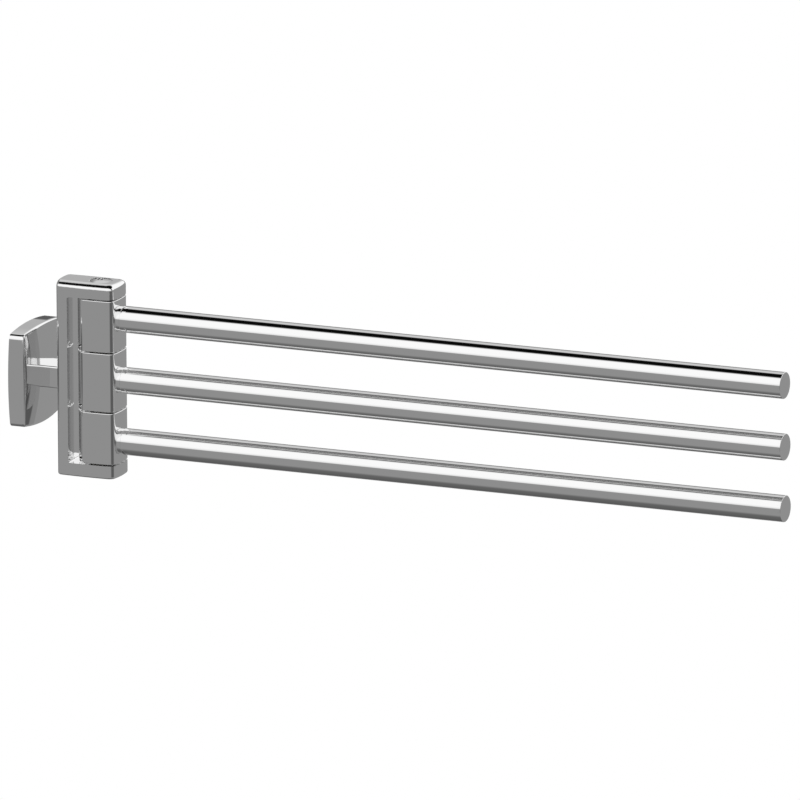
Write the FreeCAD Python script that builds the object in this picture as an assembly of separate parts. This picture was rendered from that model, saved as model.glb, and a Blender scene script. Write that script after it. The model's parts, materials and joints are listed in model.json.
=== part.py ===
import FreeCAD, Part
import math
import os

# Swing arm towel bar for a bathroom wall.
# A soft square rosette with a neck carries a C-shaped yoke. Three knuckles are stacked in the
# yoke on one upright pivot bolt, and each knuckle carries a straight tube closed by an end cap.
# Frame: origin at the centre of the rosette's back face on the wall, +X out of the wall and
# along the arms at rest, +Z up, +Y to the right seen from the room. Millimetres.

# ---- driving dimensions ----
TUBE_D = 16.0             # outside diameter of an arm's tube
TUBE_WALL = 1.0
TUBE_START_X = 63.4       # where the tube's mouth meets the collar's shoulder
TIP_X = 493.4             # the outer face of the end caps
ARM_PITCH = 37.6          # from one arm's axis to the next

PIVOT_X = 48.2            # the upright axis that all three arms turn about
STACK_BACK_X = 22.2       # the yoke's face towards the wall
STACK_FRONT_X = 61.4      # the end faces of the yoke's flanges and of the knuckles
STACK_WIDTH = 24.5        # across the yoke and the knuckles, in Y
FOOT_Z = -59.1            # the yoke's underside
TOP_Z = 60.0              # the flat middle of its top
SIDE_BULGE = 0.7          # how far the long sides of the plan bow out
END_BULGE = 1.2           # how far its front end bows out
PLAN_CORNER_R = 4.5       # and the corners there
SPINE_BULGE = 2.0         # how far the yoke's back bows out
SPINE_CORNER_R = 2.6
# The yoke's sides turn over into its top by a tight arc and a wide one.
EDGE_R = 2.6
EDGE_TURN = 54.0          # degrees from upright where the tight arc ends
SHOULDER_R = 8.0
SHOULDER_TURN = 84.0
FRONT_SHARE = 0.7         # how much of the sides' turn the top has at its front
SPINE_SHARE = 0.25        # and at its back, which stays crisper
YOKE_FOOT_R = 1.4         # round edge of the underside
KNUCKLE_BACK_R = 14.0     # the knuckles' backs, round about the pivot
KNUCKLE_BACK_CORNER_R = 4.0

SPINE_FRONT_X = 31.3      # the spine's face towards the knuckles
OUTER_SEAM_Z = 50.6       # middle of the seam between a flange and its knuckle
INNER_SEAM_Z = 18.3       # middle of the seam between two knuckles
SEAM_GAP = 0.8
KNUCKLE_EDGE_R = 0.5
WINDOW_CORNER_R = 1.0

ROSETTE_HALF_W = 28.8     # at the middle of its upright sides
ROSETTE_HALF_H = 30.4     # at the middle of its top and bottom
ROSETTE_SIDE_BULGE = 2.3
ROSETTE_TOP_BULGE = 2.4
ROSETTE_CORNER_R = 3.5
DOME_CROWN_X = 12.6       # the crown of the rosette's gently domed front
DOME_R = 208.0
DOME_RIM_R = 1.6
ROSETTE_WALL = 2.5

NECK_W = 20.0             # in Y
NECK_H = 13.5             # in Z
NECK_EDGE_R = 1.2
NECK_BACK_X = 5.0         # the end of the neck's boss inside the rosette
NECK_SEAT = 1.5           # depth of the neck's seat in the yoke's spine
NECK_BOLT_D = 5.0
NECK_BOLT_HEAD_D = 8.5
NECK_BOLT_TIP_X = 29.0
NECK_BOLT_SEAT_X = 10.5   # the shoulder in the neck that the lock washer bears on

PLATE_T = 2.5             # the steel plate that is screwed to the wall
PLATE_W = 40.0
PLATE_H = 46.0
PLATE_LIP_X = 8.0         # how far its two lips stand off the wall
PLATE_LIP_W = 24.0
PLATE_BEND_R = 1.0        # inside radius of the bends
PLATE_CORNER_R = 5.0
WALL_HOLE_R = 2.5
WALL_HOLE_SPACING = 30.0
WALL_SINK_R = 4.8         # mouth of the countersinks
SET_SCREW_D = 5.0
SET_SCREW_X = 5.2

AXLE_D = 8.0              # the pivot bolt's shank
AXLE_FIT = 0.05           # radial clearance of the bushes on the shank
AXLE_HEAD_D = 13.5
AXLE_HEAD_RISE = 0.9      # the crown of its domed head above the yoke's top
AXLE_HEAD_SINK = 0.8      # how deep the head sits in the yoke's top
AXLE_SOCKET = 4.0         # across the flats
AXLE_SOCKET_DEPTH = 1.8
AXLE_THREAD_D = 6.0
AXLE_THREAD_LENGTH = 5.0
BUSH_D = 10.2
BUSH_FLANGE_D = 14.0
BUSH_FLANGE_T = 1.2
BUSH_LENGTH = 9.0
BUSH_PROUD = 0.35         # how far a bush's flange stands out of its knuckle
THRUST_GAP = 0.1          # play between a bush's flange and what it turns against
WASHER_D = 16.0
WASHER_T = 0.8
WASHER_POCKET_D = 16.6
DISC_SPRING_T = 0.6
DISC_SPRING_HEIGHT = 1.0

COLLAR_D = 15.2           # the short collar between a knuckle and its tube
COLLAR_SEAT_X = 58.2      # the floor of the collar's seat in the knuckle
STUD_D = 8.0
STUD_END_X = 54.2
SPIGOT_LENGTH = 24.0      # how far the collar's spigot reaches into the tube

CAP_T = 1.6
CAP_SPIGOT_LENGTH = 8.0
CAP_EDGE_R = 0.35
MOUTH_R = 0.3             # the rounded edge of the tube's mouth


def bow_radius(half_length, bulge):
    """The radius of an arc that bows out by bulge over twice half_length."""
    return (half_length ** 2 + bulge ** 2) / (2 * bulge)


# ---- worked out ----
STACK_MID_X = (STACK_BACK_X + STACK_FRONT_X) / 2
STACK_HALF_L = (STACK_FRONT_X - STACK_BACK_X) / 2
STACK_HALF_W = STACK_WIDTH / 2
SIDE_R = bow_radius(STACK_HALF_L - END_BULGE, SIDE_BULGE)
SHOULDER_INSET = (EDGE_R * (1 - math.cos(math.radians(EDGE_TURN)))
                  + SHOULDER_R * (math.cos(math.radians(EDGE_TURN))
                                  - math.cos(math.radians(SHOULDER_TURN))))
FLANGE_Z = OUTER_SEAM_Z + SEAM_GAP / 2
NECK_END_X = STACK_BACK_X + NECK_SEAT
TUBE_BORE_D = TUBE_D - 2 * TUBE_WALL
# The thrust washers leave the play to the outer knuckles' bushes, and the spring lies under
# the lower one.
UPPER_WASHER_Z = OUTER_SEAM_Z - SEAM_GAP / 2 + BUSH_PROUD + THRUST_GAP
LOWER_WASHER_Z = -UPPER_WASHER_Z - WASHER_T
SPRING_Z = LOWER_WASHER_Z - DISC_SPRING_HEIGHT
THREAD_END_Z = SPRING_Z - AXLE_THREAD_LENGTH

# Each arm's name, the height of its axis and the underside and top of its knuckle.
ARMS = (
    ("top", ARM_PITCH, INNER_SEAM_Z + SEAM_GAP / 2, OUTER_SEAM_Z - SEAM_GAP / 2),
    ("middle", 0.0, -INNER_SEAM_Z + SEAM_GAP / 2, INNER_SEAM_Z - SEAM_GAP / 2),
    ("bottom", -ARM_PITCH, -OUTER_SEAM_Z + SEAM_GAP / 2, -INNER_SEAM_Z - SEAM_GAP / 2),
)

X_AXIS = FreeCAD.Vector(1, 0, 0)
Z_AXIS = FreeCAD.Vector(0, 0, 1)


def vec(x, y, z):
    return FreeCAD.Vector(x, y, z)


# ---- shared forms ----
def corner_between(centre_a, radius_a, centre_b, radius_b, corner_r):
    """The arc that rounds the corner of two large arcs, in the first quadrant.

    The one at +a has its centre at (centre_a, 0), and the one at +b at (0, centre_b). Gives the
    points where the corner arc leaves the first and reaches the second, and its middle point.
    """
    reach_a = radius_a - corner_r
    reach_b = radius_b - corner_r
    # The corner's centre lies reach_a from (centre_a, 0) and reach_b from (0, centre_b).
    span = math.hypot(centre_a, centre_b)
    along = (reach_a ** 2 - reach_b ** 2 + span ** 2) / (2 * span)
    across = math.sqrt(reach_a ** 2 - along ** 2)
    unit_a, unit_b = -centre_a / span, centre_b / span
    corner_a = centre_a + along * unit_a - across * unit_b
    corner_b = along * unit_b + across * unit_a
    if corner_b < 0:
        corner_a = centre_a + along * unit_a + across * unit_b
        corner_b = along * unit_b - across * unit_a
    scale_a = radius_a / reach_a
    scale_b = radius_b / reach_b
    on_a = (centre_a + (corner_a - centre_a) * scale_a, corner_b * scale_a)
    on_b = (corner_a * scale_b, centre_b + (corner_b - centre_b) * scale_b)
    out_a = on_a[0] + on_b[0] - 2 * corner_a
    out_b = on_a[1] + on_b[1] - 2 * corner_b
    out = math.hypot(out_a, out_b)
    middle = (corner_a + corner_r * out_a / out, corner_b + corner_r * out_b / out)
    return on_a, middle, on_b


def soft_corner(half_a, half_b, bulge_a, bulge_b, corner_r):
    """The corner arc of a rectangle whose four sides bow out.

    half_a and half_b are measured at the middles of the sides.
    """
    radius_a = bow_radius(half_b - bulge_b, bulge_a)
    radius_b = bow_radius(half_a - bulge_a, bulge_b)
    return corner_between(half_a - radius_a, radius_a, half_b - radius_b, radius_b, corner_r)


def arc(place, start, middle, end):
    """An arc through three points of a plan, which place(a, b) sets in space."""
    return Part.Arc(place(*start), place(*middle), place(*end)).toShape()


def soft_rectangle(place, half_a, half_b, bulge_a, bulge_b, corner_r):
    """A closed wire: four bowed sides joined by round corners."""
    on_a, middle, on_b = soft_corner(half_a, half_b, bulge_a, bulge_b, corner_r)
    edges = []
    for sign_a, sign_b in ((1, 1), (-1, 1), (-1, -1), (1, -1)):
        corner = [(sign_a * a, sign_b * b) for a, b in (on_a, middle, on_b)]
        edges.append(arc(place, *corner))
    for sign in (1, -1):
        edges.append(arc(place, (sign * on_a[0], on_a[1]), (sign * half_a, 0),
                         (sign * on_a[0], -on_a[1])))
        edges.append(arc(place, (on_b[0], sign * on_b[1]), (0, sign * half_b),
                         (-on_b[0], sign * on_b[1])))
    return Part.Wire(Part.__sortEdges__(edges))


def prism(wire, direction):
    return Part.Face(wire).extrude(direction)


def fillet_where(shape, radius, keep):
    """Round the edges of a shape that keep(edge) picks."""
    return shape.makeFillet(radius, [edge for edge in shape.Edges if keep(edge)])


def chamfer_where(shape, size, keep):
    return shape.makeChamfer(size, [edge for edge in shape.Edges if keep(edge)])


def block(x0, x1, y0, y1, z0, z1):
    return Part.makeBox(x1 - x0, y1 - y0, z1 - z0, vec(x0, y0, z0))


def rod_x(radius, x0, x1, y=0.0, z=0.0):
    return Part.makeCylinder(radius, x1 - x0, vec(x0, y, z), X_AXIS)


def rod_z(radius, z0, z1, x=PIVOT_X, y=0.0):
    return Part.makeCylinder(radius, z1 - z0, vec(x, y, z0), Z_AXIS)


def hexagon(flats, centre, axis, length):
    """A hexagonal prism, for sockets."""
    points = []
    for corner in range(7):
        angle = math.radians(60 * corner)
        reach = flats / math.sqrt(3)
        points.append(vec(reach * math.cos(angle), reach * math.sin(angle), 0))
    solid = prism(Part.makePolygon(points), vec(0, 0, length))
    solid.Placement = FreeCAD.Placement(centre, FreeCAD.Rotation(Z_AXIS, axis))
    return solid


def circle_at(edge, x=None, z=None, radius=None):
    """Whether an edge is a circle in the plane at x or z, of the given radius."""
    if not isinstance(edge.Curve, Part.Circle):
        return False
    centre = edge.Curve.Center
    if x is not None and abs(centre.x - x) > 0.01:
        return False
    if z is not None and abs(centre.z - z) > 0.01:
        return False
    return radius is None or abs(edge.Curve.Radius - radius) < 0.01


# ---- plans ----
def stack_place(z):
    return lambda a, b: vec(STACK_MID_X + a, b, z)


def two_ended_plan(z, front, front_a, back, back_a, side_b):
    """A closed plan with bowed long sides, its front and back ends each with its own corners.

    front and back are corner arcs in the first quadrant, the back's mirrored to it. front_a,
    back_a and side_b are how far the ends and the sides reach from the stack's middle.
    """
    place = stack_place(z)
    front_edge, front_side = front[0], front[2]
    back_edge, back_side = back[0], back[2]
    side_centre = STACK_HALF_W - SIDE_R
    mid_a = (front_side[0] - back_side[0]) / 2
    mid_b = side_centre + math.sqrt((side_b - side_centre) ** 2 - mid_a ** 2)
    edges = [arc(place, (front_edge[0], -front_edge[1]), (front_a, 0), front_edge),
             arc(place, *front),
             arc(place, front_side, (mid_a, mid_b), (-back_side[0], back_side[1])),
             arc(place, *[(-a, b) for a, b in reversed(back)]),
             arc(place, (-back_edge[0], back_edge[1]), (-back_a, 0),
                 (-back_edge[0], -back_edge[1])),
             arc(place, *[(-a, -b) for a, b in back]),
             arc(place, (-back_side[0], -back_side[1]), (mid_a, -mid_b),
                 (front_side[0], -front_side[1])),
             arc(place, *[(a, -b) for a, b in reversed(front)])]
    return Part.Wire(edges)


def end_corner(bulge, corner_r, end_inset=0.0, side_inset=0.0):
    """A corner of the stack's plan between an end that bows out by bulge and a bowed side."""
    end_r = bow_radius(STACK_HALF_W - SIDE_BULGE, bulge)
    return corner_between(STACK_HALF_L - end_r, end_r - end_inset,
                          STACK_HALF_W - SIDE_R, SIDE_R - side_inset, corner_r)


def yoke_plan(z, inset=0.0):
    """The yoke's plan, or a level of its rounded top, drawn in from it by inset at the sides."""
    shrink = inset / SHOULDER_INSET
    front_in = FRONT_SHARE * inset
    back_in = SPINE_SHARE * inset
    front = end_corner(END_BULGE, PLAN_CORNER_R * (1 - 0.6 * shrink), front_in, inset)
    back = end_corner(SPINE_BULGE, SPINE_CORNER_R * (1 - 0.6 * shrink), back_in, inset)
    return two_ended_plan(z, front, STACK_HALF_L - front_in, back, STACK_HALF_L - back_in,
                          STACK_HALF_W - inset)


def knuckle_plan(z):
    """The yoke's plan at the front, and a back that is round about the pivot."""
    pivot_a = STACK_MID_X - PIVOT_X
    back = corner_between(pivot_a, KNUCKLE_BACK_R, STACK_HALF_W - SIDE_R, SIDE_R,
                          KNUCKLE_BACK_CORNER_R)
    return two_ended_plan(z, end_corner(END_BULGE, PLAN_CORNER_R), STACK_HALF_L,
                          back, pivot_a + KNUCKLE_BACK_R, STACK_HALF_W)


def top_profile():
    """How the yoke's top turns in: pairs of distance in from the side and height."""
    levels = []
    steps = 2
    first, last = math.radians(EDGE_TURN), math.radians(SHOULDER_TURN)
    for step in range(steps + 1):
        turn = first * step / steps
        levels.append((EDGE_R * (1 - math.cos(turn)), EDGE_R * math.sin(turn)))
    inset, height = levels[-1]
    for step in range(1, steps + 1):
        turn = first + (last - first) * step / steps
        levels.append((inset + SHOULDER_R * (math.cos(first) - math.cos(turn)),
                       height + SHOULDER_R * (math.sin(turn) - math.sin(first))))
    return levels


# ---- wall side ----
def neck_bar(x0, x1):
    bar = block(x0, x1, -NECK_W / 2, NECK_W / 2, -NECK_H / 2, NECK_H / 2)
    return fillet_where(bar, NECK_EDGE_R, lambda edge: abs(edge.Length - (x1 - x0)) < 0.01)


def make_wall_plate():
    """Sheet steel: a flat plate with two screw holes, and a lip bent out at its top and foot."""
    outer_r = PLATE_BEND_R + PLATE_T
    half_h = PLATE_H / 2
    inner_z = half_h - PLATE_T
    turn = math.sqrt(0.5)

    def bend(sign, centre_z, radius):
        start, middle, end = ((outer_r, sign * (centre_z + radius)),
                              (outer_r - radius * turn, sign * (centre_z + radius * turn)),
                              (outer_r - radius, sign * centre_z))
        return [Part.Arc(*[vec(x, -PLATE_LIP_W / 2, z) for x, z in (start, middle, end)])
                .toShape()]

    def line(*points):
        return Part.makeLine(*[vec(x, -PLATE_LIP_W / 2, z) for x, z in points])

    centre_z = half_h - outer_r
    edges = [line((0, -centre_z), (0, centre_z)), line((PLATE_T, -centre_z), (PLATE_T, centre_z))]
    for sign in (1, -1):
        edges += bend(sign, centre_z, outer_r) + bend(sign, centre_z, PLATE_BEND_R)
        edges.append(line((outer_r, sign * half_h), (PLATE_LIP_X, sign * half_h)))
        edges.append(line((PLATE_LIP_X, sign * half_h), (PLATE_LIP_X, sign * inner_z)))
        edges.append(line((PLATE_LIP_X, sign * inner_z), (outer_r, sign * inner_z)))
    lipped = prism(Part.Wire(Part.__sortEdges__(edges)), vec(0, PLATE_LIP_W, 0))
    flat = block(0, PLATE_T, -PLATE_W / 2, PLATE_W / 2, -centre_z, centre_z)
    flat = fillet_where(flat, PLATE_CORNER_R, lambda edge: abs(edge.Length - PLATE_T) < 0.01)
    plate = lipped.fuse(flat).removeSplitter()
    for sign in (1, -1):
        z = sign * WALL_HOLE_SPACING / 2
        plate = plate.cut(rod_x(WALL_HOLE_R, -1, PLATE_T + 1, z=z))
        sink = WALL_SINK_R - WALL_HOLE_R
        plate = plate.cut(Part.makeCone(WALL_HOLE_R, WALL_SINK_R, sink,
                                        vec(PLATE_T - sink, 0, z), X_AXIS))
    return plate


def rosette_form(inset):
    """The rosette's outside, or its hollow, inset from it: a soft square under a dome."""
    outline = soft_rectangle(lambda a, b: vec(0, a, b), ROSETTE_HALF_W - inset,
                             ROSETTE_HALF_H - inset, ROSETTE_SIDE_BULGE, ROSETTE_TOP_BULGE,
                             ROSETTE_CORNER_R - inset / 2)
    ball = Part.makeSphere(DOME_R - inset)
    # Half a turn puts the ball's seam at the back, clear of the dome.
    ball.Placement = FreeCAD.Placement(vec(DOME_CROWN_X - DOME_R, 0, 0),
                                       FreeCAD.Rotation(Z_AXIS, 180))
    return prism(outline, vec(DOME_CROWN_X + 1, 0, 0)).common(ball)


def make_rosette():
    """A hollow domed cover, cast in one with the neck, the neck's boss and its inner ribs."""
    body = fillet_where(rosette_form(0), DOME_RIM_R, lambda edge: edge.BoundBox.XMin > 5)
    hollow = rosette_form(ROSETTE_WALL)
    lip_z = PLATE_H / 2
    inner = neck_bar(NECK_BACK_X, DOME_CROWN_X)
    for y in (-8.5, 6.0):
        inner = inner.fuse(block(3, DOME_CROWN_X, y, y + 2.5, lip_z, ROSETTE_HALF_H))
    boss = rod_z(SET_SCREW_D / 2 + 2, -ROSETTE_HALF_H, -lip_z - 1.2, x=SET_SCREW_X)
    inner = inner.fuse(boss)
    body = body.cut(hollow.cut(inner)).fuse(neck_bar(DOME_CROWN_X - 4, NECK_END_X))
    body = body.removeSplitter()
    body = body.cut(rod_z(SET_SCREW_D / 2, -ROSETTE_HALF_H - 1, -lip_z, x=SET_SCREW_X))
    body = body.cut(rod_x(NECK_BOLT_D / 2 + 0.2, 0, NECK_END_X + 1))
    return body.cut(rod_x(NECK_BOLT_HEAD_D / 2 + 0.3, 0, NECK_BOLT_SEAT_X))


def make_rosette_set_screw():
    """A grub screw from below, whose flat point bears on the wall plate's lower lip."""
    low, high = -ROSETTE_HALF_H + 0.6, -PLATE_H / 2
    screw = rod_z(SET_SCREW_D / 2, low, high, x=SET_SCREW_X)
    screw = chamfer_where(screw, 0.4, lambda edge: isinstance(edge.Curve, Part.Circle))
    return screw.cut(hexagon(2.5, vec(SET_SCREW_X, 0, low - 0.1), Z_AXIS, 2.6))


def make_neck_bolt():
    """The cap screw that pulls the neck into the yoke from inside the rosette."""
    head_x = NECK_BOLT_SEAT_X - 1.2
    head = rod_x(NECK_BOLT_HEAD_D / 2, head_x - NECK_BOLT_D, head_x)
    head = chamfer_where(head, 0.5, lambda edge: circle_at(edge, x=head_x - NECK_BOLT_D))
    shank = rod_x(NECK_BOLT_D / 2, head_x, NECK_BOLT_TIP_X)
    shank = chamfer_where(shank, 0.6, lambda edge: circle_at(edge, x=NECK_BOLT_TIP_X))
    bolt = head.fuse(shank).removeSplitter()
    return bolt.cut(hexagon(4, vec(head_x - NECK_BOLT_D - 0.1, 0, 0), X_AXIS, 2.6))


def make_neck_lock_washer():
    """A split spring washer under the neck bolt's head."""
    outer, inner, thick = NECK_BOLT_HEAD_D / 2, NECK_BOLT_D / 2, 1.2
    ring = rod_x(outer, NECK_BOLT_SEAT_X - thick, NECK_BOLT_SEAT_X)
    ring = ring.cut(rod_x(inner, 0, NECK_END_X))
    slit = block(-thick, thick, -0.3, 0.3, 0, outer + 1)
    slit.Placement = FreeCAD.Placement(vec(NECK_BOLT_SEAT_X - thick / 2, 0, 0),
                                       FreeCAD.Rotation(Z_AXIS, 35))
    return ring.cut(slit)


# ---- yoke and pivot ----
def make_yoke():
    """A C-shaped bracket under a softly rounded top: a spine with a flange at each end."""
    levels = top_profile()
    top_start = TOP_Z - levels[-1][1]
    # Two plain levels first keep the lofted sides upright where they leave the prism.
    run_in = 3.0
    plans = [yoke_plan(top_start - run_in), yoke_plan(top_start - run_in / 2)]
    plans += [yoke_plan(top_start + height, inset) for inset, height in levels]
    body = prism(yoke_plan(FOOT_Z), vec(0, 0, top_start - run_in - FOOT_Z))
    body = body.fuse(Part.makeLoft(plans, True)).removeSplitter()
    body = fillet_where(body, YOKE_FOOT_R, lambda edge: edge.BoundBox.ZMax < FOOT_Z + 0.01)
    window = block(SPINE_FRONT_X, STACK_FRONT_X + 10, -STACK_WIDTH, STACK_WIDTH,
                   -FLANGE_Z, FLANGE_Z)
    window = fillet_where(window, WINDOW_CORNER_R, lambda edge: edge.BoundBox.YLength > 1
                          and edge.BoundBox.XMax < SPINE_FRONT_X + 0.01)
    body = body.cut(window)
    body = body.cut(neck_bar(STACK_BACK_X - 5, NECK_END_X))
    body = body.cut(rod_x(NECK_BOLT_D / 2, STACK_BACK_X, NECK_BOLT_TIP_X + 0.5))
    pocket_r = WASHER_POCKET_D / 2
    body = body.cut(rod_z(pocket_r, 0, UPPER_WASHER_Z + WASHER_T))
    body = body.cut(rod_z(pocket_r, SPRING_Z, 0))
    body = body.cut(rod_z(AXLE_D / 2, 0, TOP_Z + 1))
    body = body.cut(rod_z(AXLE_HEAD_D / 2 + 0.3, TOP_Z - AXLE_HEAD_SINK, TOP_Z + 1))
    return body.cut(rod_z(AXLE_THREAD_D / 2, THREAD_END_Z - 0.4, 0))


def make_pivot_bolt():
    """A shoulder bolt: a low domed head, a plain shank for the bushes and a threaded end."""
    head_r = AXLE_HEAD_D / 2
    low = TOP_Z - AXLE_HEAD_SINK
    crown = TOP_Z + AXLE_HEAD_RISE
    edge_z = TOP_Z - 0.2
    flat_r = AXLE_SOCKET / 2 + 0.6
    shank_end = SPRING_Z
    place = lambda r, z: vec(PIVOT_X + r, 0, z)
    rise = crown - edge_z
    dome_r = (head_r ** 2 + rise ** 2) / (2 * rise)
    half = head_r / 2
    dome_mid = crown - dome_r + math.sqrt(dome_r ** 2 - half ** 2)
    outline = [(0, crown), (0, THREAD_END_Z), (AXLE_THREAD_D / 2 - 0.6, THREAD_END_Z),
               (AXLE_THREAD_D / 2, THREAD_END_Z + 0.6), (AXLE_THREAD_D / 2, shank_end),
               (AXLE_D / 2, shank_end), (AXLE_D / 2, low), (head_r, low), (head_r, edge_z)]
    edges = [Part.makeLine(place(*a), place(*b)) for a, b in zip(outline, outline[1:])]
    edges.append(Part.Arc(place(head_r, edge_z), place(half, dome_mid),
                          place(0, crown)).toShape())
    bolt = Part.Face(Part.Wire(edges)).revolve(vec(PIVOT_X, 0, 0), Z_AXIS, 360)
    socket = hexagon(AXLE_SOCKET, vec(PIVOT_X, 0, crown - AXLE_SOCKET_DEPTH), Z_AXIS, 5)
    lead_in = Part.makeCone(AXLE_SOCKET / math.sqrt(3), flat_r, flat_r - AXLE_SOCKET / math.sqrt(3),
                            vec(PIVOT_X, 0, crown - 0.3), Z_AXIS)
    return bolt.cut(socket.fuse(lead_in))


def make_thrust_washer(low):
    washer = rod_z(WASHER_D / 2, low, low + WASHER_T).cut(rod_z(AXLE_D / 2, low - 1, low + 2))
    return chamfer_where(washer, 0.15, lambda edge: circle_at(edge, radius=WASHER_D / 2))


def make_disc_spring():
    """A dished spring that keeps the stack of knuckles pressed together."""
    inner, outer = AXLE_D / 2 + 0.1, WASHER_D / 2 - 0.1
    drop = DISC_SPRING_HEIGHT - DISC_SPRING_T
    outline = [(inner, drop), (inner, DISC_SPRING_HEIGHT), (outer, DISC_SPRING_T), (outer, 0),
               (inner, drop)]
    wire = Part.makePolygon([vec(PIVOT_X + r, 0, SPRING_Z + z) for r, z in outline])
    return Part.Face(wire).revolve(vec(PIVOT_X, 0, 0), Z_AXIS, 360)


# ---- arms ----
def make_knuckle(axis_z, low, high):
    """One block of the stack, bored for its bushes, with a seat for the arm's collar."""
    body = prism(knuckle_plan(low), vec(0, 0, high - low))
    body = fillet_where(body, KNUCKLE_EDGE_R, lambda edge: edge.BoundBox.ZLength < 0.01)
    body = body.cut(rod_z(BUSH_D / 2, low - 1, high + 1))
    recess = BUSH_FLANGE_T - BUSH_PROUD
    for z in (low - 1, high - recess):
        body = body.cut(rod_z(BUSH_FLANGE_D / 2, z, z + recess + 1))
    body = body.cut(rod_x(COLLAR_D / 2, COLLAR_SEAT_X, STACK_FRONT_X + 5, z=axis_z))
    return body.cut(rod_x(STUD_D / 2, STUD_END_X - 0.4, STACK_FRONT_X, z=axis_z))


def make_bush(face_z, inward):
    """A flanged nylon bush. inward is -1 for the bush that enters a knuckle from above."""
    flange_z = face_z - inward * BUSH_PROUD
    deep_z = flange_z + inward * BUSH_LENGTH
    inner_z = flange_z + inward * BUSH_FLANGE_T
    bush = rod_z(BUSH_D / 2, min(flange_z, deep_z), max(flange_z, deep_z))
    flange = rod_z(BUSH_FLANGE_D / 2, min(flange_z, inner_z), max(flange_z, inner_z))
    bore = rod_z(AXLE_D / 2 + AXLE_FIT, -TOP_Z, TOP_Z)
    bush = bush.fuse(flange).cut(bore).removeSplitter()
    return chamfer_where(bush, 0.4, lambda edge: circle_at(edge, z=deep_z, radius=BUSH_D / 2))


def make_collar(axis_z):
    """The turned piece that joins a tube to its knuckle: stud, collar and hollow spigot."""
    spigot_end = TUBE_START_X + SPIGOT_LENGTH
    spigot_r = TUBE_BORE_D / 2
    spigot = rod_x(spigot_r, TUBE_START_X, spigot_end, z=axis_z)
    spigot = chamfer_where(spigot, 1.0, lambda edge: circle_at(edge, x=spigot_end))
    collar = rod_x(COLLAR_D / 2, COLLAR_SEAT_X, TUBE_START_X, z=axis_z)
    stud = rod_x(STUD_D / 2, STUD_END_X, COLLAR_SEAT_X, z=axis_z)
    stud = chamfer_where(stud, 0.7, lambda edge: circle_at(edge, x=STUD_END_X))
    hollow = rod_x(spigot_r - 2.5, TUBE_START_X + 2, spigot_end + 1, z=axis_z)
    return stud.fuse(collar).fuse(spigot).removeSplitter().cut(hollow)


def make_tube(axis_z):
    end = TIP_X - CAP_T
    tube = rod_x(TUBE_D / 2, TUBE_START_X, end, z=axis_z)
    tube = fillet_where(tube, MOUTH_R, lambda edge: circle_at(edge, x=TUBE_START_X))
    return tube.cut(rod_x(TUBE_BORE_D / 2, TUBE_START_X - 1, end + 1, z=axis_z))


def make_end_cap(axis_z):
    """A flat disc that closes the tube flush, on a hollow spigot pressed into the bore."""
    seat_x = TIP_X - CAP_T
    disc = rod_x(TUBE_D / 2, seat_x, TIP_X, z=axis_z)
    disc = fillet_where(disc, CAP_EDGE_R, lambda edge: circle_at(edge, x=TIP_X))
    spigot = rod_x(TUBE_BORE_D / 2, seat_x - CAP_SPIGOT_LENGTH, seat_x, z=axis_z)
    spigot = chamfer_where(spigot, 0.8,
                           lambda edge: circle_at(edge, x=seat_x - CAP_SPIGOT_LENGTH))
    hollow = rod_x(TUBE_BORE_D / 2 - 1.5, seat_x - CAP_SPIGOT_LENGTH - 1, seat_x, z=axis_z)
    return disc.fuse(spigot).removeSplitter().cut(hollow)


# ---- the assembly ----
parts = {
    "wall_plate": make_wall_plate(),
    "rosette": make_rosette(),
    "rosette_set_screw": make_rosette_set_screw(),
    "neck_bolt": make_neck_bolt(),
    "neck_lock_washer": make_neck_lock_washer(),
    "yoke": make_yoke(),
    "pivot_bolt": make_pivot_bolt(),
    "upper_thrust_washer": make_thrust_washer(UPPER_WASHER_Z),
    "lower_thrust_washer": make_thrust_washer(LOWER_WASHER_Z),
    "disc_spring": make_disc_spring(),
}
for name, axis_z, low, high in ARMS:
    parts["knuckle_" + name] = make_knuckle(axis_z, low, high)
    parts["upper_bush_" + name] = make_bush(high, -1)
    parts["lower_bush_" + name] = make_bush(low, 1)
    parts["collar_" + name] = make_collar(axis_z)
    parts["tube_" + name] = make_tube(axis_z)
    parts["end_cap_" + name] = make_end_cap(axis_z)

os.makedirs("parts", exist_ok=True)
for node, shape in parts.items():
    shape.exportStep("parts/" + node + ".step")
    print(node, "valid" if shape.isValid() else "INVALID", len(shape.Solids), "solid",
          round(shape.Volume, 1), "mm3")
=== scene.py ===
import json
import math

import bpy
from mathutils import Matrix, Vector


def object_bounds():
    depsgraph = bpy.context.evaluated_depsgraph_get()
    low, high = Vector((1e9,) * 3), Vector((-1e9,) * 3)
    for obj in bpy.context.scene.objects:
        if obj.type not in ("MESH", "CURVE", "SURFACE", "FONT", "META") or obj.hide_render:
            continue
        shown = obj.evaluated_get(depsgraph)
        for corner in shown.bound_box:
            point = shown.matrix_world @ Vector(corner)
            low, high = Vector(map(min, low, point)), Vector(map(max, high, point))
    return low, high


# The swing arm towel bar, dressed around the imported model. Metres, in the model's own frame:
# origin at the middle of the rosette's back, +X out of the wall along the arms, +Z up.

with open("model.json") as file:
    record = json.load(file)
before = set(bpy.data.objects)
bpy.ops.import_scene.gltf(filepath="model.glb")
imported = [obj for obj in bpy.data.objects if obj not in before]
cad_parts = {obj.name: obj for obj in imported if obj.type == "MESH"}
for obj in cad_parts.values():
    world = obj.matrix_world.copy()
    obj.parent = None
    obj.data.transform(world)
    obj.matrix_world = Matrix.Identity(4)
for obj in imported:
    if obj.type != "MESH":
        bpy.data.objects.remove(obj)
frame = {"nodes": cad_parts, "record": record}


def corners(box):
    """A box's lowest and highest corners as plain lists of numbers."""
    return [[float(value) for value in corner] for corner in box]


cad_box = corners(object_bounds())


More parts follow.
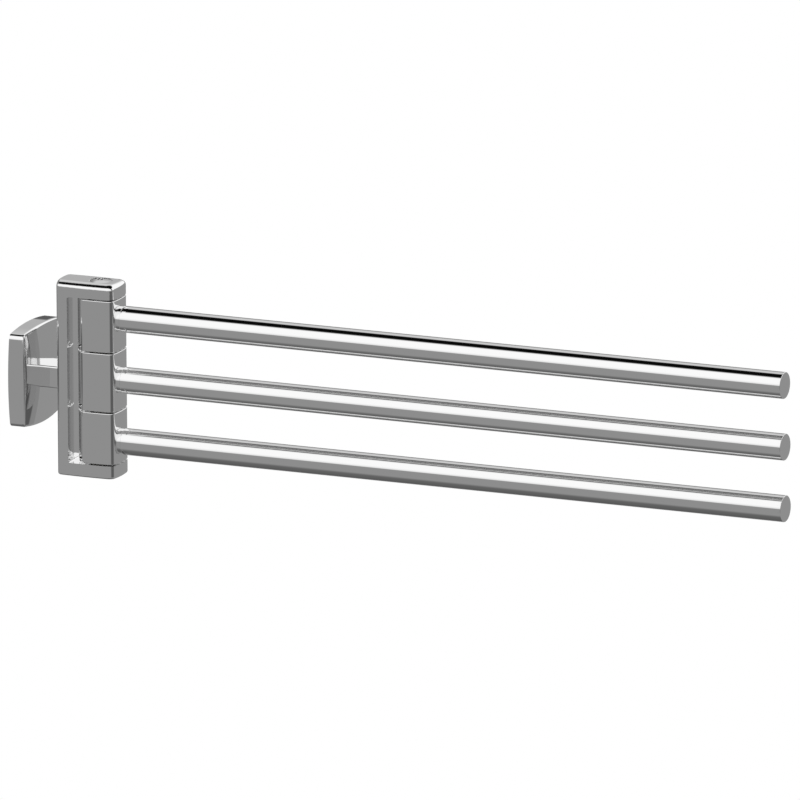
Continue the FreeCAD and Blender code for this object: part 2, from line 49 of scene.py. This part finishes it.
# ---- camera ----
# The photograph is close to orthographic, so the lens is a very long one.
VIEW_AZIMUTH = math.radians(24.279)
VIEW_ELEVATION = math.radians(13.968)
VIEW_ROLL = math.radians(0.438)
LENS_MM = 1600.0
SENSOR_MM = 36.0
IMAGE_PX = 800
PX_PER_M = 1681.5
ORIGIN_PIXEL = (26.58, 370.39)    # where the photograph shows the frame's origin
MIDDLE_X = 0.2467                 # halfway out along the arms: the depth that the scale is for
CLIP_NEAR = 1.0
CLIP_FAR = 4                      # in camera distances


def add_camera():
    """Look along the photograph's line of sight, with the origin at its pixel there."""
    back = Vector((math.sin(VIEW_AZIMUTH) * math.cos(VIEW_ELEVATION),
                   -math.cos(VIEW_AZIMUTH) * math.cos(VIEW_ELEVATION),
                   math.sin(VIEW_ELEVATION)))
    right = Vector((0, 0, 1)).cross(back).normalized()
    up = back.cross(right)
    right, up = (right * math.cos(VIEW_ROLL) - up * math.sin(VIEW_ROLL),
                 up * math.cos(VIEW_ROLL) + right * math.sin(VIEW_ROLL))
    target = right * (IMAGE_PX / 2 - ORIGIN_PIXEL[0]) - up * (IMAGE_PX / 2 - ORIGIN_PIXEL[1])
    target = target / PX_PER_M + back * back.x * MIDDLE_X
    distance = IMAGE_PX / PX_PER_M * LENS_MM / SENSOR_MM
    data = bpy.data.cameras.new("camera")
    data.sensor_width = SENSOR_MM
    data.lens = LENS_MM
    data.clip_start = CLIP_NEAR
    data.clip_end = CLIP_FAR * distance
    camera = bpy.data.objects.new("camera", data)
    axes = Matrix((right, up, back)).transposed().to_4x4()
    camera.matrix_world = Matrix.Translation(target + back * distance) @ axes
    bpy.context.scene.collection.objects.link(camera)
    bpy.context.scene.camera = camera


add_camera()


# ---- node helpers ----
# A mix node's sockets by what it mixes: factor, first, second, and the result.
MIX_SOCKETS = {"FLOAT": (0, 2, 3, 0), "RGBA": (0, 6, 7, 2)}


class Graph:
    """A small helper that adds shader nodes and links them."""

    def __init__(self, tree):
        self.tree = tree

    def add(self, kind, **settings):
        node = self.tree.nodes.new(kind)
        for key, value in settings.items():
            setattr(node, key, value)
        return node

    def put(self, socket, value):
        """Link value to the socket if it is an output, or set it there."""
        if isinstance(value, bpy.types.NodeSocket):
            self.tree.links.new(value, socket)
        else:
            socket.default_value = value

    def math(self, operation, *values):
        """One operation on numbers, each an output or a plain number."""
        node = self.add("ShaderNodeMath", operation=operation)
        for socket, value in zip(node.inputs, values):
            self.put(socket, value)
        return node.outputs[0]

    def ramp(self, value, bounds, first=0.0, last=1.0, smooth=True):
        """first below the lower bound, last above the upper one, smooth or straight between."""
        kind = "SMOOTHSTEP" if smooth else "LINEAR"
        node = self.add("ShaderNodeMapRange", interpolation_type=kind)
        for socket, number in zip(node.inputs, (value, *bounds, first, last)):
            self.put(socket, number)
        return node.outputs[0]

    def mix(self, factor, first, second, kind="FLOAT"):
        """A number between first and second, or a colour where kind is RGBA."""
        node = self.add("ShaderNodeMix", data_type=kind)
        *places, result = MIX_SOCKETS[kind]
        for place, value in zip(places, (factor, first, second)):
            self.put(node.inputs[place], value)
        return node.outputs[result]


# ---- studio ----
# What the polished metal sees, by direction. First its tones, where 1 is white.
SOFT_BOX = 1.08                # the soft box in front, and the one behind at the right
BOX_FOOT = 0.84                # the front box near the horizon
SILVER_HIGH = 0.68             # the pale sheet behind, near its top
SILVER_LOW = 0.47              # the sheet near the horizon, and the far left of the ceiling
SHEET_EDGE = 0.22              # past the sheet's left edge
BLACK = 0.003                  # the ceiling
GREY = 0.302                   # the ground
GROUND_LOW = 0.13              # the ground straight below
BEHIND = 0.28                  # the ground behind
SHADE = 0.11                   # its dark rims, and the patch at the front right

# Then its places: the x, y or z of a unit direction at which one tone ends and the next is whole.
BOX_RISE = (0.10, 0.40)        # z: from the front box's foot to its full light
BOX_BACK = (-0.34, -0.11)      # y: from the front box to the ceiling
CEILING_LEFT = (-0.75, -0.50)  # x: from the ceiling's far left to its black
SHEET_FRONT = (0.0, 0.10)      # y: from the ceiling to the sheet behind
SHEET_RISE = (0.38, 0.60)      # z: from the sheet's low tone to its high one
SHEET_LEFT = (-0.56, -0.43)    # x: from past the sheet's left edge to the sheet
SHEET_RIGHT = (-0.20, 0.12)    # x: from the sheet to the soft box at its right
SHEET_TOP = (0.75, 0.835)      # z: from the sheet to the ceiling
HORIZON = (0.08, 0.145)        # z: from the ground to what is above it
HORIZON_RISE = 0.035           # how much higher the horizon is behind
GROUND_RISE = (-0.92, -0.70)   # z: from straight below to the grey ground
BEHIND_FRONT = (0.02, 0.30)    # y: from the ground to the ground behind
BEHIND_RIGHT = (0.0, 0.20)     # x: from the ground behind to the ground
BEHIND_RISE = (-0.76, -0.50)   # z: from its low rim to its own tone
BEHIND_LEFT = (-0.62, -0.50)   # x: from its left rim to its own tone
BEHIND_TOP = (-0.14, 0.0)      # z: from its own tone to its rim at the horizon
PATCH_WAY = (0.92, -0.39)      # x and y of the way to the dark patch
PATCH_RIM = (0.84, 0.95)       # how far a direction points that way, at the rim and in the patch
PATCH_TOP = (-0.10, 0.06)      # z: from the patch to the ground over it

MIRROR_BOUNCES = 12            # the narrow slot behind the knuckles sends light to and fro


def light_above(graph, x, y, z):
    """Over the horizon: a soft box in front, a black ceiling, and a silver sheet and a box behind."""
    box = graph.ramp(z, BOX_RISE, BOX_FOOT, SOFT_BOX)
    ceiling = graph.ramp(x, CEILING_LEFT, SILVER_LOW, BLACK)
    front = graph.mix(graph.ramp(y, BOX_BACK), box, ceiling)
    silver = graph.ramp(z, SHEET_RISE, SILVER_LOW, SILVER_HIGH)
    sheet = graph.mix(graph.ramp(x, SHEET_RIGHT), silver, SOFT_BOX)
    sheet = graph.mix(graph.ramp(x, SHEET_LEFT), SHEET_EDGE, sheet)
    back = graph.mix(graph.ramp(z, SHEET_TOP), sheet, BLACK)
    return graph.mix(graph.ramp(y, SHEET_FRONT), front, back)


def light_below(graph, x, y, z, behind):
    """Under the horizon: a grey ground, darker straight below, in places behind and in one patch."""
    ground = graph.ramp(z, GROUND_RISE, GROUND_LOW, GREY)
    shade = graph.ramp(z, BEHIND_RISE, SHADE, BEHIND)
    shade = graph.mix(graph.ramp(x, BEHIND_LEFT), SHADE, shade)
    shade = graph.mix(graph.ramp(z, BEHIND_TOP), shade, SHADE)
    ground = graph.mix(behind, ground, shade)
    along_x = graph.math("MULTIPLY", x, PATCH_WAY[0])
    toward = graph.math("MULTIPLY_ADD", y, PATCH_WAY[1], along_x)
    patch = graph.math("MULTIPLY", graph.ramp(toward, PATCH_RIM), graph.ramp(z, PATCH_TOP, 1.0, 0.0))
    return graph.mix(patch, ground, SHADE)


def studio_world():
    """A soft-box studio by direction: what the chrome reflects. The camera itself sees white."""
    bpy.context.scene.view_settings.view_transform = "Standard"
    bpy.context.scene.cycles.glossy_bounces = MIRROR_BOUNCES
    world = bpy.data.worlds.new("studio")
    bpy.context.scene.world = world
    world.use_nodes = True
    world.node_tree.nodes.clear()
    graph = Graph(world.node_tree)
    split = graph.add("ShaderNodeSeparateXYZ")
    graph.put(split.inputs[0], graph.add("ShaderNodeTexCoord").outputs["Generated"])
    x, y, z = split.outputs

    behind = graph.math("MULTIPLY", graph.ramp(y, BEHIND_FRONT), graph.ramp(x, BEHIND_RIGHT, 1.0, 0.0))
    height = graph.math("MULTIPLY_ADD", behind, -HORIZON_RISE, z)
    below = light_below(graph, x, y, z, behind)
    light = graph.mix(graph.ramp(height, HORIZON), below, light_above(graph, x, y, z))

    camera_ray = graph.add("ShaderNodeLightPath").outputs["Is Camera Ray"]
    background = graph.add("ShaderNodeBackground")
    background.inputs["Color"].default_value = (1, 1, 1, 1)
    graph.put(background.inputs["Strength"], graph.mix(camera_ray, light, 1.0))
    output = graph.add("ShaderNodeOutputWorld")
    graph.put(output.inputs["Surface"], background.outputs[0])


studio_world()


# ---- materials ----
NOISE_DETAIL = 5.0
NOISE_SPAN = (0.35, 0.7)      # the noise values at which the roughness reaches its two ends
PLATING_NOISE = 90.0          # how fine the noise is, here and in the next two
STEEL_NOISE = 260.0
NYLON_NOISE = 700.0
NYLON_ROUGH = (0.38, 0.55)


def principled(name, color, metallic, rough, scale, stretch=(1, 1, 1)):
    """A material whose roughness varies softly between the two values in rough."""
    material = bpy.data.materials.new(name)
    material.use_nodes = True
    graph = Graph(material.node_tree)
    shader = material.node_tree.nodes["Principled BSDF"]
    shader.inputs["Base Color"].default_value = (*color, 1)
    shader.inputs["Metallic"].default_value = metallic
    place = graph.add("ShaderNodeMapping")
    graph.put(place.inputs["Vector"], graph.add("ShaderNodeTexCoord").outputs["Object"])
    place.inputs["Scale"].default_value = stretch
    cloud = graph.add("ShaderNodeTexNoise")
    graph.put(cloud.inputs["Vector"], place.outputs[0])
    cloud.inputs["Scale"].default_value = scale
    cloud.inputs["Detail"].default_value = NOISE_DETAIL
    gloss = graph.ramp(cloud.outputs["Fac"], NOISE_SPAN, *rough, smooth=False)
    graph.put(shader.inputs["Roughness"], gloss)
    return material, graph, shader, cloud


def tone(graph, shader, cloud, light, dark):
    """Let the colour drift between two shades with the same noise."""
    shades = graph.mix(cloud.outputs["Fac"], (*light, 1), (*dark, 1), "RGBA")
    graph.put(shader.inputs["Base Color"], shades)


def chrome(name, tint, rough):
    """Polished plating with a faint unevenness in its gloss."""
    return principled(name, tint, 1.0, rough, PLATING_NOISE)[0]


def steel(name, light, dark, rough, stretch):
    """Bare or zinc-plated steel with rolled or turned streaks."""
    material, graph, shader, cloud = principled(name, light, 1.0, rough, STEEL_NOISE, stretch)
    tone(graph, shader, cloud, light, dark)
    return material


def plastic(name, light, dark):
    """Moulded plastic with a dull, faintly clouded surface."""
    material, graph, shader, cloud = principled(name, light, 0.0, NYLON_ROUGH, NYLON_NOISE)
    tone(graph, shader, cloud, light, dark)
    return material


# One material for each of the record's slots.
SLOT_MATERIALS = {
    "chrome_cast": chrome("cast_chrome", tint=(0.88, 0.88, 0.88), rough=(0.015, 0.045)),
    "chrome_tube": chrome("tube_chrome", tint=(0.88, 0.88, 0.88), rough=(0.012, 0.035)),
    "chrome_turned": chrome("turned_chrome", tint=(0.87, 0.87, 0.87), rough=(0.02, 0.05)),
    "steel_plate": steel("zinc_plated_sheet", light=(0.66, 0.66, 0.65), dark=(0.56, 0.57, 0.58),
                         rough=(0.28, 0.45), stretch=(1, 1, 8)),
    "steel_hardware": steel("bright_steel", light=(0.62, 0.62, 0.62), dark=(0.54, 0.54, 0.55),
                            rough=(0.16, 0.30), stretch=(1, 1, 5)),
    "nylon": plastic("natural_nylon", light=(0.80, 0.79, 0.74), dark=(0.74, 0.73, 0.68)),
}

for part in frame["record"]["subparts"]:
    node = frame["nodes"][part["node"]]
    node.data.materials.clear()
    node.data.materials.append(SLOT_MATERIALS[part["material_slot"]])


# ---- floor ----
# A round sheet of pale paper, so far down that the photograph's own view doesn't reach it.
FLOOR_Z = -0.55
FLOOR_R = 0.9
FLOOR_SIDES = 96
PAPER = (0.79, 0.81)          # its colour varies between these
PAPER_GRAIN = 60.0
PAPER_GLOW = 0.62             # light of its own, which brings it up to white


def floor_material():
    """Paper that shows white with a soft shadow; the metal sees the studio through it."""
    material = bpy.data.materials.new("pale_floor")
    material.use_nodes = True
    tree = material.node_tree
    tree.nodes.clear()
    graph = Graph(tree)
    paper = graph.add("ShaderNodeBsdfDiffuse")
    grain = graph.add("ShaderNodeTexNoise")
    grain.inputs["Scale"].default_value = PAPER_GRAIN
    graph.put(paper.inputs["Color"], graph.ramp(grain.outputs["Fac"], (0.0, 1.0), *PAPER))
    glow = graph.add("ShaderNodeEmission")
    glow.inputs["Strength"].default_value = PAPER_GLOW
    lit = graph.add("ShaderNodeAddShader")
    graph.put(lit.inputs[0], paper.outputs[0])
    graph.put(lit.inputs[1], glow.outputs[0])
    clear = graph.add("ShaderNodeBsdfTransparent")
    chosen = graph.add("ShaderNodeMixShader")
    graph.put(chosen.inputs[0], graph.add("ShaderNodeLightPath").outputs["Is Camera Ray"])
    graph.put(chosen.inputs[1], clear.outputs[0])
    graph.put(chosen.inputs[2], lit.outputs[0])
    output = graph.add("ShaderNodeOutputMaterial")
    graph.put(output.inputs["Surface"], chosen.outputs[0])
    return material


def add_floor():
    """A flat round floor, centred below the bar at rest."""
    middle_x = (cad_box[0][0] + cad_box[1][0]) / 2
    turns = [2 * math.pi * side / FLOOR_SIDES for side in range(FLOOR_SIDES)]
    rim = [(middle_x + FLOOR_R * math.cos(turn), FLOOR_R * math.sin(turn), FLOOR_Z)
           for turn in turns]
    mesh = bpy.data.meshes.new("floor")
    mesh.from_pydata(rim, [], [list(range(FLOOR_SIDES))])
    mesh.materials.append(floor_material())
    floor = bpy.data.objects.new("floor", mesh)
    bpy.context.scene.collection.objects.link(floor)


add_floor()
